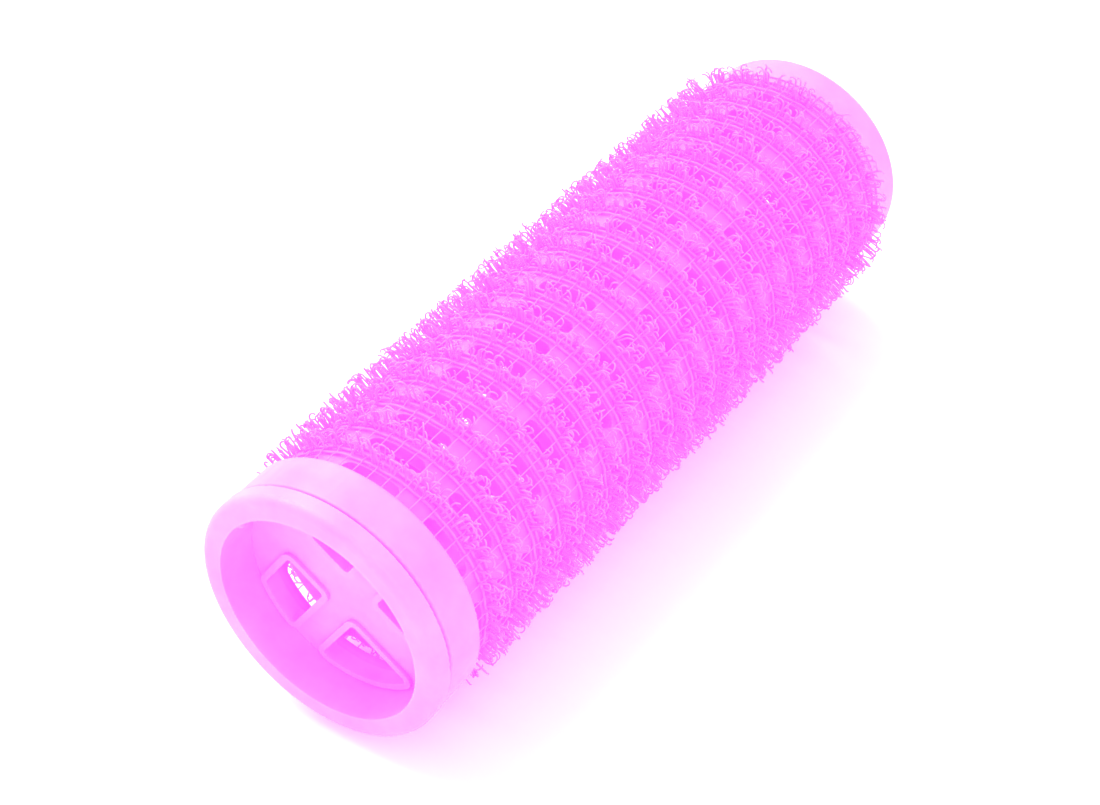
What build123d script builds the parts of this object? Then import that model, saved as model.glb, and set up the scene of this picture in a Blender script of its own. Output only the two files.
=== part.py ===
from build123d import *
import math
import os

# Self-grip hair roller: a slotted plastic core with a pressed-in end cap, wrapped
# in an open cloth of ring-shaped weft threads and hooked warp filaments.
# It lies on its hooks with its axis along Y and the capped end towards -Y.
# Z = 0 is the surface that it lies on, and Y = 0 is the middle of its length.

# Driving dimensions, in millimetres and degrees
roller_length = 63.0
lip_radius = 9.8
core_radius = 8.8
core_wall = 1.1

# End cap: a lip outside, a cup wall inside the core's socket, and a cross at its bottom,
# with a plain plate over the end of the wide arm that points at the moulding gate
recess_radius = 8.1
lip_width = 1.6
lip_round = 0.6
lip_inner_round = 0.25
lip_back_round = 0.15
cap_wall = 0.6
cap_depth = 4.3
spider_thickness = 1.0
window_radius = 7.5
window_round = 0.35
narrow_arm_width = 2.8
narrow_arm_offset = -0.5
wide_arm_width = 4.0
plate_offset = 4.3
edge_width = 0.45
edge_height = 0.3
cross_angle = 56.5
gate_radius = 0.5
gate_angle = 145.0
gate_depth = 1.0

# Core: a socket for the cap, a slotted tube, and a plain rounded rim at the rear
press_clearance = 0.02
joint_gap = 0.15
socket_radius = 9.7
socket_end = 5.0
socket_round = 0.15
rim_radius = 8.95
rim_width = 2.9
rim_round = 0.4
slot_rows = 19
slot_pitch = 2.86
slot_width = 1.2
slot_length = 4.6
slots_per_ring = 8
slot_angle = 41.5

# Hook cloth
weft_width = 0.28
weft_thickness = 0.22
weft_spacing = 0.55
weft_per_band = 3
thread_clearance = 0.01
filament = 0.3
warp_count = 24
hook_stem_top = 10.28
hook_bend = 0.38
hook_turn = 150.0
hook_pair_gap = 0.5

# Derived places
core_bore = core_radius - core_wall
front_y = -roller_length / 2
rear_y = roller_length / 2
cup_radius = recess_radius + cap_wall
socket_bore = cup_radius + press_clearance
socket_start = lip_width + joint_gap
cloth_front = front_y + socket_end + thread_clearance
cloth_rear = rear_y - rim_width - thread_clearance
weft_inner_radius = core_radius + thread_clearance
warp_inner_radius = weft_inner_radius + weft_thickness + thread_clearance
warp_step = 360 / warp_count
hook_top = hook_stem_top + hook_bend + filament / 2
half_step = math.radians(warp_step / 2)
axis_height = hook_top * math.cos(half_step) + filament / 2 * math.sin(half_step)

roller_axis = Axis((0, 0, axis_height), (0, 1, 0))
# The half section: local X is the depth behind the front face, local Y the radius
section = Plane(origin=(0, front_y, axis_height), x_dir=(0, 1, 0), z_dir=(1, 0, 0))


def cross_plane(y):
    """The plane across the axis at y, facing the front end."""
    return Plane(origin=(0, y, axis_height), x_dir=(1, 0, 0), z_dir=(0, -1, 0))


def tangent_plane(angle, radius):
    """The plane that faces outwards at this angle and radius, with local X along the roller."""
    out = Vector(math.cos(math.radians(angle)), 0, math.sin(math.radians(angle)))
    return Plane(origin=Vector(0, 0, axis_height) + out * radius, x_dir=(0, 1, 0), z_dir=out)


def finish(builder, name):
    """Label a finished sub-part and write it."""
    builder.part.label = name
    export_step(builder.part, f"parts/{name}.step")


os.makedirs("parts", exist_ok=True)

# Core cage
with BuildPart() as core_cage:
    with BuildSketch(section) as core_section:
        with BuildLine():
            Polyline(
                (socket_start, socket_bore),
                (socket_start, socket_radius),
                (socket_end, socket_radius),
                (socket_end, core_radius),
                (roller_length - rim_width, core_radius),
                (roller_length - rim_width, rim_radius),
                (roller_length, rim_radius),
                (roller_length, core_bore),
                (cap_depth, core_bore),
                (cap_depth, socket_bore),
                close=True,
            )
        make_face()
        by_radius = core_section.vertices().group_by(Axis.Y)
        fillet(by_radius[-1], socket_round)
        rear_corners = core_section.vertices().group_by(Axis.X)[-1]
        fillet(rear_corners, rim_round)
    revolve(axis=roller_axis)
    for ring_place in range(slots_per_ring):
        angle = slot_angle + ring_place * 360 / slots_per_ring
        with BuildSketch(tangent_plane(angle, socket_radius)):
            with GridLocations(slot_pitch, 0, slot_rows, 1):
                SlotOverall(slot_length, slot_width, rotation=90)
        extrude(amount=-(socket_radius - core_bore + core_wall / 2), mode=Mode.SUBTRACT)
finish(core_cage, "core_cage")

# Front cap
spider_back = cross_plane(front_y + cap_depth)
with BuildSketch() as windows:
    Circle(window_radius)
    with Locations(Rotation(0, 0, cross_angle)):
        Rectangle(wide_arm_width, 2 * recess_radius, mode=Mode.SUBTRACT)
        with Locations((0, narrow_arm_offset)):
            Rectangle(2 * recess_radius, narrow_arm_width, mode=Mode.SUBTRACT)
        with Locations((0, plate_offset)):
            plate_align = (Align.CENTER, Align.MIN)
            Rectangle(2 * recess_radius, recess_radius, align=plate_align, mode=Mode.SUBTRACT)
    fillet(windows.vertices(), window_round)
with BuildPart() as front_cap:
    with BuildSketch(section) as cap_section:
        with BuildLine():
            Polyline(
                (0, recess_radius),
                (0, lip_radius),
                (lip_width, lip_radius),
                (lip_width, cup_radius),
                (cap_depth, cup_radius),
                (cap_depth, recess_radius),
                close=True,
            )
        make_face()
        front_corners = cap_section.vertices().group_by(Axis.X)[0].sort_by(Axis.Y)
        fillet(front_corners[-1], lip_round)
        fillet(front_corners[0], lip_inner_round)
        fillet(cap_section.vertices().group_by(Axis.Y)[-1].sort_by(Axis.X)[-1], lip_back_round)
    revolve(axis=roller_axis)
    # The bottom, pierced by the windows
    with BuildSketch(spider_back):
        Circle(recess_radius + cap_wall / 2)
        add(windows.sketch_local, mode=Mode.SUBTRACT)
    extrude(amount=spider_thickness)
    # The raised edges around the windows
    with BuildSketch(spider_back.offset(spider_thickness)):
        offset(windows.sketch_local, amount=edge_width)
        add(windows.sketch_local, mode=Mode.SUBTRACT)
    extrude(amount=edge_height)
    # The moulding gate's mark inside the lip
    gate_place = tangent_plane(gate_angle, recess_radius + gate_radius / 4)
    with Locations(Plane(gate_place.origin + Vector(0, front_y + gate_depth, 0))):
        Sphere(gate_radius)
finish(front_cap, "front_cap")

# Weft: groups of flat ring threads on the solid bands between the slots
band_places = [(band - slot_rows / 2 + 1) * slot_pitch for band in range(slot_rows)]
with BuildPart() as weft_threads:
    for band_y in band_places:
        for thread in range(weft_per_band):
            y = band_y + (thread - (weft_per_band - 1) / 2) * weft_spacing
            with BuildSketch(cross_plane(y)):
                Circle(weft_inner_radius + weft_thickness)
                Circle(weft_inner_radius, mode=Mode.SUBTRACT)
            extrude(amount=weft_width / 2, both=True)
finish(weft_threads, "weft_threads")

# Warp: filaments along the roller, each with two hooks over every band, bent away from each other
with BuildPart() as top_yarn:
    with BuildSketch(section):
        cloth_length = cloth_rear - cloth_front
        with Locations((cloth_front - front_y, warp_inner_radius)):
            Rectangle(cloth_length, filament, align=(Align.MIN, Align.MIN))
        for band_y in band_places:
            for side in (-1, 1):
                stem_place = band_y - front_y + side * hook_pair_gap / 2
                with Locations((stem_place, warp_inner_radius)):
                    stem_length = hook_stem_top - warp_inner_radius
                    Rectangle(filament, stem_length, align=(Align.CENTER, Align.MIN))
                with BuildLine():
                    bend_centre = (stem_place + side * hook_bend, hook_stem_top)
                    bend = CenterArc(bend_centre, hook_bend, 90 + side * 90, -side * hook_turn)
                SlotArc(bend, filament)
    extrude(amount=filament / 2, both=True)

for place in range(warp_count):
    turn = (place + 0.5) * warp_step
    with BuildPart() as hook_yarn:
        add(top_yarn.part.rotate(roller_axis, turn))
    finish(hook_yarn, f"hook_yarn_{place + 1:02d}")
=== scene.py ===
import math

import bpy
import numpy as np
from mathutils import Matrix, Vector


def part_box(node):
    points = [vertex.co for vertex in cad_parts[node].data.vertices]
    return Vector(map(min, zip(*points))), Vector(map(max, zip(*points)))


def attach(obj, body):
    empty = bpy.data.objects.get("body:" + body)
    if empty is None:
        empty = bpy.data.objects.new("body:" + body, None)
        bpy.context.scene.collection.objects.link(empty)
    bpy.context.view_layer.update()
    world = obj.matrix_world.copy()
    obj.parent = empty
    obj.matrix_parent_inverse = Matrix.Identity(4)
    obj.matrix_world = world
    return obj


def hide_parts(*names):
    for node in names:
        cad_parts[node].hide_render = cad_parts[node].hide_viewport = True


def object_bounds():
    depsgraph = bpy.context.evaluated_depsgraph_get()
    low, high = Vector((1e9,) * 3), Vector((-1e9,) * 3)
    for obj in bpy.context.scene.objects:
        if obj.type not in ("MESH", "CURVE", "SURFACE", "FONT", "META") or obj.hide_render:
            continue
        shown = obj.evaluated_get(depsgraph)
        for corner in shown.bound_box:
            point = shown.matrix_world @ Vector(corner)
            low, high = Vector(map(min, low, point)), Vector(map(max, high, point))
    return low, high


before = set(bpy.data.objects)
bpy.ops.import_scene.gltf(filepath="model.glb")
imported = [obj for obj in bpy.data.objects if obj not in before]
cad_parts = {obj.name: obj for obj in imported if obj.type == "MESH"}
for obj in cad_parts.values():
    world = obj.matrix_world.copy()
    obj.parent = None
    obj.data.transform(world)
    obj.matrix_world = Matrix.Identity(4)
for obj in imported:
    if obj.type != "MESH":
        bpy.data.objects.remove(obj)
cad_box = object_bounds()

MM = 0.001
SEED = 20

# Places that the frame gives
core_low, core_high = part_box("core_cage")
weft_low, weft_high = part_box("weft_threads")
AXIS_Z = (core_low.z + core_high.z) / 2
TIP_RADIUS = (cad_box[1][0] - cad_box[0][0]) / 2
YARNS = sorted(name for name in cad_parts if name.startswith("hook_yarn"))

# The woven ground, in millimetres: weft rings in threes on bands, and warp filaments that are
# woven with them within a share of the band's pitch, and lie a little lower between bands
BANDS = 19
WEFT_PER_BAND = 3
WEFT_SPACING = 0.55
WEFT_CAD_WIDTH = 0.28
WEFT_RADIUS = 8.97
WEFT_THREAD = 0.1
WEFT_SWAY = 0.03
WARP_PER_YARN = 2
WARP_RADIUS = 9.06
WARP_THREAD = 0.045
WEAVE_LIFT = 0.1
BAND_SHARE = 0.32
WARP_SAG = -0.2
STEPS_PER_WARP = 3
STEPS_PER_BAND = 13

# The core's thicker ends look paler: from this far from its middle, over a soft edge
PALE_FROM = 26.4 * MM
PALE_EDGE = 0.4 * MM

# The hooks, in millimetres and radians: most are bent over, some are stubs, a few stray
HOOKS_PER_BAND = 16
HOOK_THREAD = 0.065
ROOT_SPACING = 0.4
ROOT_SCATTER = 0.1
HOOK_BEND = (0.2, 0.36)
HEADING_SPREAD = 0.5
LEAN_SPREAD = 0.2
CURL_SPREAD = 0.15
SWAY_SPREAD = 0.08
THREAD_RANGE = (0.85, 1.15)
TIP_TAPER = 0.8
TIP_ROUND = 0.45
TIP_MARGIN = 1.3 * HOOK_THREAD
STEM_POINTS = 4
ARC_POINTS = 8
# Share of the hooks, height range and range of turn for each kind
HOOK_KINDS = (
    (0.73, (0.6, 1.1), (1.6, 3.4)),
    (0.20, (0.35, 0.7), (0.1, 0.5)),
    (0.07, (1.1, 1.45), (0.4, 1.4)),
)

half_band = (WEFT_SPACING + WEFT_CAD_WIDTH / 2) * MM
first_band = weft_low.y + half_band
band_pitch = (weft_high.y - weft_low.y - 2 * half_band) / (BANDS - 1)
band_places = [first_band + k * band_pitch for k in range(BANDS)]
yarn_step = 2 * math.pi / len(YARNS)


# ---------------------------------------------------------------- mesh helpers

def unit(vectors):
    return vectors / np.maximum(np.linalg.norm(vectors, axis=-1, keepdims=True), 1e-12)


def tube_arrays(paths, across, radii, sides, closed):
    """Vertices and faces of many tubes that each have the same number of points.

    paths is (tubes, points, 3), across a direction beside each point, radii (tubes, points).
    """
    count, points = paths.shape[:2]
    if closed:
        tangents = unit(np.roll(paths, -1, 1) - np.roll(paths, 1, 1))
    else:
        tangents = unit(np.gradient(paths, axis=1))
    side_a = unit(across - (across * tangents).sum(-1, keepdims=True) * tangents)
    side_b = np.cross(tangents, side_a)
    turns = np.arange(sides) * 2 * math.pi / sides
    ring = (side_a[:, :, None] * np.cos(turns)[:, None] + side_b[:, :, None] * np.sin(turns)[:, None])
    verts = (paths[:, :, None] + ring * radii[:, :, None, None]).reshape(-1, 3)
    last = points if closed else points - 1
    t, p, s = np.meshgrid(np.arange(count), np.arange(last), np.arange(sides), indexing="ij")
    nxt, beside = (p + 1) % points, (s + 1) % sides

    def at(along, around):
        return (t * points + along) * sides + around

    quads = np.stack([at(p, s), at(p, beside), at(nxt, beside), at(nxt, s)], -1).reshape(-1, 4)
    faces = quads.tolist()
    if not closed:
        starts = np.arange(count)[:, None] * points * sides + np.arange(sides)
        faces += starts[:, ::-1].tolist()
        faces += (starts + (points - 1) * sides).tolist()
    return verts, faces


def mesh_piece(name, parts, material, replaced):
    """One smooth piece from several (vertices, faces), standing for the CAD nodes named."""
    verts, faces, base = [], [], 0
    for part_verts, part_faces in parts:
        verts.append(part_verts)
        faces += [[i + base for i in face] for face in part_faces]
        base += len(part_verts)
    mesh = bpy.data.meshes.new(name)
    mesh.from_pydata(np.vstack(verts).tolist(), [], faces)
    mesh.shade_smooth()
    mesh.materials.append(material)
    piece = bpy.data.objects.new(name, mesh)
    bpy.context.scene.collection.objects.link(piece)
    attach(piece, "root")
    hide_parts(*replaced)
    return piece


def on_roller(radius, angle, y):
    """Points at a radius and an angle from +X towards +Z about the roller's axis; all in metres."""
    radius, angle, y = np.broadcast_arrays(radius, angle, y)
    return np.stack([radius * np.cos(angle), y, AXIS_Z + radius * np.sin(angle)], -1)


# ---------------------------------------------------------------- materials

def new_material(name, **inputs):
    """A material with a Principled shader, its constants set on the shader's own sockets."""
    material = bpy.data.materials.new(name)
    material.use_nodes = True
    tree = material.node_tree
    shader = tree.nodes["Principled BSDF"]
    for key, value in inputs.items():
        shader.inputs[key.replace("_", " ")].default_value = value
    return material, tree, shader


def noise(tree, scale, detail=3.0, rough=0.5, stretch=(1, 1, 1)):
    """Noise on object coordinates, with a scale per metre."""
    place = tree.nodes.new("ShaderNodeTexCoord")
    mapping = tree.nodes.new("ShaderNodeMapping")
    mapping.inputs["Scale"].default_value = stretch
    texture = tree.nodes.new("ShaderNodeTexNoise")
    texture.inputs["Scale"].default_value = scale
    texture.inputs["Detail"].default_value = detail
    texture.inputs["Roughness"].default_value = rough
    tree.links.new(place.outputs["Object"], mapping.inputs["Vector"])
    tree.links.new(mapping.outputs["Vector"], texture.inputs["Vector"])
    return texture.outputs["Fac"]


def ramp(tree, value, stops):
    """A colour ramp over value, with (place, colour) stops."""
    node = tree.nodes.new("ShaderNodeValToRGB")
    elements = node.color_ramp.elements
    while len(elements) < len(stops):
        elements.new(0.5)
    for element, (place, colour) in zip(elements, stops):
        element.position = place
        element.color = (*colour, 1)
    tree.links.new(value, node.inputs["Fac"])
    return node.outputs["Color"]


def bump(tree, shader, height, strength, distance):
    node = tree.nodes.new("ShaderNodeBump")
    node.inputs["Strength"].default_value = strength
    node.inputs["Distance"].default_value = distance
    tree.links.new(height, node.inputs["Height"])
    tree.links.new(node.outputs["Normal"], shader.inputs["Normal"])


def pale_ends(tree, colour, pale, reach):
    """The colour, changed to pale further than reach from the roller's middle along Y."""
    place = tree.nodes.new("ShaderNodeTexCoord")
    parts = tree.nodes.new("ShaderNodeSeparateXYZ")
    tree.links.new(place.outputs["Object"], parts.inputs["Vector"])
    away = tree.nodes.new("ShaderNodeMath")
    away.operation = "ABSOLUTE"
    tree.links.new(parts.outputs["Y"], away.inputs[0])
    share = tree.nodes.new("ShaderNodeMapRange")
    share.inputs["From Min"].default_value = reach
    share.inputs["From Max"].default_value = reach + PALE_EDGE
    tree.links.new(away.outputs["Value"], share.inputs["Value"])
    mix = tree.nodes.new("ShaderNodeMix")
    mix.data_type = "RGBA"
    factor, first, second = [socket for socket in mix.inputs if socket.enabled]
    tree.links.new(share.outputs["Result"], factor)
    tree.links.new(colour, first)
    tree.links.new(pale, second)
    return next(socket for socket in mix.outputs if socket.enabled)


def plastic(name, dark, light, painted_glow, pale=None):
    """Satin moulded polypropylene: cloudy colour, faint flow lines, a fine grain, and a painted glow
    (emission) that lifts its shaded sides in place of light.

    pale is the pair of shades of the moulding's ends.
    """
    material, tree, shader = new_material(
        name, Roughness=0.38, Subsurface_Weight=0.5, Subsurface_Radius=(1.0, 0.5, 1.0),
        Subsurface_Scale=0.0015, Emission_Color=(*light, 1), Emission_Strength=painted_glow,
    )
    cloud = noise(tree, 260, 4, 0.55)
    colour = ramp(tree, cloud, [(0.3, dark), (0.7, light)])
    if pale:
        colour = pale_ends(tree, colour, ramp(tree, cloud, [(0.3, pale[0]), (0.7, pale[1])]), PALE_FROM)
    tree.links.new(colour, shader.inputs["Base Color"])
    wear = noise(tree, 900, 3, 0.6, (1, 0.25, 1))
    tree.links.new(ramp(tree, wear, [(0.3, (0.42,) * 3), (0.75, (0.6,) * 3)]), shader.inputs["Roughness"])
    grain = noise(tree, 3500, 2, 0.5)
    bump(tree, shader, grain, 0.25, 0.00003)
    return material


def filament(name, dark, light, rough, clear, painted_glow):
    """Nylon thread whose shade varies from place to place, with a painted glow (emission) that lifts its
    shaded sides in place of light.
    """
    material, tree, shader = new_material(
        name, Roughness=rough, Transmission_Weight=clear, IOR=1.35,
        Emission_Color=(*light, 1), Emission_Strength=painted_glow,
    )
    shade = noise(tree, 1400, 2, 0.5)
    tree.links.new(ramp(tree, shade, [(0.3, dark), (0.7, light)]), shader.inputs["Base Color"])
    grain = noise(tree, 9000, 1, 0.5, (1, 0.2, 1))
    bump(tree, shader, grain, 0.2, 0.00002)
    return material


# The number after each material's two shades is its painted glow: emission that brightens the shade,
# standing in for light.
core_plastic = plastic("core_plastic", (0.97, 0.11, 0.92), (0.99, 0.15, 0.96), 0.35,
                       pale=((0.97, 0.18, 0.95), (0.99, 0.24, 0.97)))
cap_plastic = plastic("cap_plastic", (0.97, 0.2, 0.95), (0.99, 0.26, 0.97), 0.2)
weft_nylon = filament("weft_nylon", (0.97, 0.15, 0.94), (0.99, 0.2, 0.97), 0.5, 0.1, 0.3)
hook_nylon = filament("hook_nylon", (0.98, 0.17, 0.95), (0.99, 0.24, 0.97), 0.42, 0.2, 0.3)

# ---------------------------------------------------------------- moulded parts

for node, material in (("core_cage", core_plastic), ("front_cap", cap_plastic)):
    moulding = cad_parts[node]
    moulding.data.materials.clear()
    moulding.data.materials.append(material)


# ---------------------------------------------------------------- woven ground

def weft_rings():
    """Ring threads that rise and fall over the warp."""
    warps = WARP_PER_YARN * len(YARNS)
    steps = warps * STEPS_PER_WARP
    angle = np.arange(steps) * 2 * math.pi / steps
    paths = []
    for band_y in band_places:
        for row in range(WEFT_PER_BAND):
            y = band_y + (row - (WEFT_PER_BAND - 1) / 2) * WEFT_SPACING * MM
            wave = np.cos(angle * warps / 2 + math.pi * row)
            radius = (WEFT_RADIUS + 0.5 * WEAVE_LIFT * wave) * MM
            paths.append(on_roller(radius, angle, y + WEFT_SWAY * MM * np.sin(7 * angle + row)))
    paths = np.array(paths)
    across = np.broadcast_to(np.array([0.0, 1.0, 0.0]), paths.shape)
    return tube_arrays(paths, across, np.full(paths.shape[:2], WEFT_THREAD * MM), 6, True)


def warp_filaments(yarn_angle, parity):
    """The straight ground filaments of one yarn, woven over and under the weft."""
    cloth_low, cloth_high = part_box(YARNS[0])
    steps = int((cloth_high.y - cloth_low.y) / band_pitch * STEPS_PER_BAND)
    y = np.linspace(cloth_low.y, cloth_high.y, steps)
    place = (y - first_band) / band_pitch
    off_band = place - np.round(place)
    row = off_band * band_pitch / (WEFT_SPACING * MM)
    paths = []
    for k in range(WARP_PER_YARN):
        angle = yarn_angle + (k - (WARP_PER_YARN - 1) / 2) * yarn_step / WARP_PER_YARN
        woven = np.cos(math.pi * (row + k + parity))
        wave = np.where(np.abs(off_band) < BAND_SHARE, woven, WARP_SAG)
        paths.append(on_roller((WARP_RADIUS + WEAVE_LIFT * wave) * MM, angle, y))
    paths = np.array(paths)
    across = np.broadcast_to(np.array([-math.sin(yarn_angle), 0.0, math.cos(yarn_angle)]), paths.shape)
    return tube_arrays(paths, across, np.full(paths.shape[:2], WARP_THREAD * MM), 5, False)


# ---------------------------------------------------------------- hooks

def hook_tubes(yarn_angle, rng):
    """The cut loops of one yarn: bent hooks, the short stubs beside them and a few stray ends."""
    count = BANDS * HOOKS_PER_BAND
    band = np.repeat(np.array(band_places), HOOKS_PER_BAND)
    row = rng.integers(0, WEFT_PER_BAND, count) - (WEFT_PER_BAND - 1) / 2
    y = band + (row * ROOT_SPACING + rng.normal(0, ROOT_SCATTER, count)) * MM
    angle = yarn_angle + rng.uniform(-0.5, 0.5, count) * yarn_step
    shares, heights, turns = zip(*HOOK_KINDS)
    kind = rng.choice(len(HOOK_KINDS), count, p=shares)
    height = rng.uniform(*np.array(heights)[kind].T)
    turn = rng.uniform(*np.array(turns)[kind].T)
    bend = rng.uniform(*HOOK_BEND, count)
    lean = rng.normal(0, LEAN_SPREAD, count)
    curl = rng.normal(0, CURL_SPREAD, count)
    sway = rng.normal(0, SWAY_SPREAD, count)
    heading = rng.choice((0, math.pi), count) + rng.normal(0, HEADING_SPREAD, count)

    stem = np.linspace(0, 1, STEM_POINTS)[None] * height[:, None]
    arc = np.linspace(0, 1, ARC_POINTS + 1)[None, 1:] * turn[:, None]
    up = np.concatenate([stem, height[:, None] + bend[:, None] * np.sin(arc)], 1)
    out = np.concatenate([0 * stem, bend[:, None] * (1 - np.cos(arc))], 1)
    out = out + lean[:, None] * up
    aside = curl[:, None] * out + sway[:, None] * up

    outward = np.stack([np.cos(angle), 0 * angle, np.sin(angle)], -1)
    around = np.stack([-np.sin(angle), 0 * angle, np.cos(angle)], -1)
    along = np.array([0.0, 1.0, 0.0])
    ahead = around * np.cos(heading)[:, None] + along * np.sin(heading)[:, None]
    beside = np.cross(outward, ahead)
    root = on_roller(np.full(count, WARP_RADIUS * MM), angle, y)
    paths = (root[:, None] + (outward[:, None] * up[..., None] + ahead[:, None] * out[..., None]
             + beside[:, None] * aside[..., None]) * MM)
    paths = inside_tips(paths)
    taper = np.linspace(1.0, TIP_TAPER, paths.shape[1])
    taper[-1] = TIP_ROUND
    radii = HOOK_THREAD * MM * taper[None] * rng.uniform(*THREAD_RANGE, count)[:, None]
    across = np.broadcast_to(beside[:, None], paths.shape)
    return tube_arrays(paths, across, radii, 6, False)


def inside_tips(paths):
    """Pull points that stand above the hooks' outer radius, or under the cloth, back to it."""
    radial = paths - np.array([0, 0, AXIS_Z])
    radius = np.hypot(radial[..., 0], radial[..., 2])
    wanted = np.clip(radius, WARP_RADIUS * MM, TIP_RADIUS - TIP_MARGIN * MM)
    scale = wanted / radius
    out = paths.copy()
    out[..., 0] = radial[..., 0] * scale
    out[..., 2] = radial[..., 2] * scale + AXIS_Z
    return out


mesh_piece("weft_cloth", [weft_rings()], weft_nylon, ["weft_threads"])
rng = np.random.default_rng(SEED)
for number, yarn in enumerate(YARNS):
    low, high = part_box(yarn)
    middle = (low + high) / 2
    yarn_angle = math.atan2(middle.z - AXIS_Z, middle.x)
    parts = [warp_filaments(yarn_angle, number % 2), hook_tubes(yarn_angle, rng)]
    mesh_piece(yarn.replace("yarn", "filaments"), parts, hook_nylon, [yarn])

# ---------------------------------------------------------------- floor, light and camera

floor_material, floor_tree, floor_shader = new_material("floor_card", Roughness=0.6)
floor_shade = noise(floor_tree, 40, 3, 0.5)
floor_colour = ramp(floor_tree, floor_shade, [(0.3, (0.9, 0.9, 0.9)), (0.7, (0.93, 0.93, 0.93))])
floor_tree.links.new(floor_colour, floor_shader.inputs["Base Color"])
bpy.ops.mesh.primitive_plane_add(size=6, location=(0, 0, 0))
floor = bpy.context.object
floor.name = "floor"
floor.data.materials.append(floor_material)


def area_light(name, place, size, power, colour=(1, 1, 1)):
    """A square soft light aimed at the roller."""
    data = bpy.data.lights.new(name, "AREA")
    data.size = size
    data.energy = power
    data.color = colour
    light = bpy.data.objects.new(name, data)
    light.location = place
    light.rotation_euler = (Vector((0, 0, AXIS_Z)) - Vector(place)).to_track_quat("-Z", "Y").to_euler()
    bpy.context.scene.collection.objects.link(light)


area_light("key", (-0.35, 0.1, 0.45), 0.5, 3.8)
area_light("fill", (0.45, -0.3, 0.35), 0.5, 1.0)
world = bpy.data.worlds.new("studio")
world.use_nodes = True
world.node_tree.nodes["Background"].inputs["Color"].default_value = (1, 1, 1, 1)
world.node_tree.nodes["Background"].inputs["Strength"].default_value = 1.3
bpy.context.scene.world = world
bpy.context.scene.view_settings.view_transform = "Standard"

# The camera looks down at the capped end from the right
CAMERA_PLACE = Vector((74.0, -112.8, 126.0)) * MM
CAMERA_AIM = Vector((-1.1 * MM, -2.7 * MM, AXIS_Z - 2.4 * MM))
camera_data = bpy.data.cameras.new("camera")
camera_data.lens = 79
camera_data.clip_start = 0.01
camera = bpy.data.objects.new("camera", camera_data)
camera.location = CAMERA_PLACE
camera.rotation_euler = (CAMERA_AIM - CAMERA_PLACE).to_track_quat("-Z", "Y").to_euler()
bpy.context.scene.collection.objects.link(camera)
bpy.context.scene.camera = camera
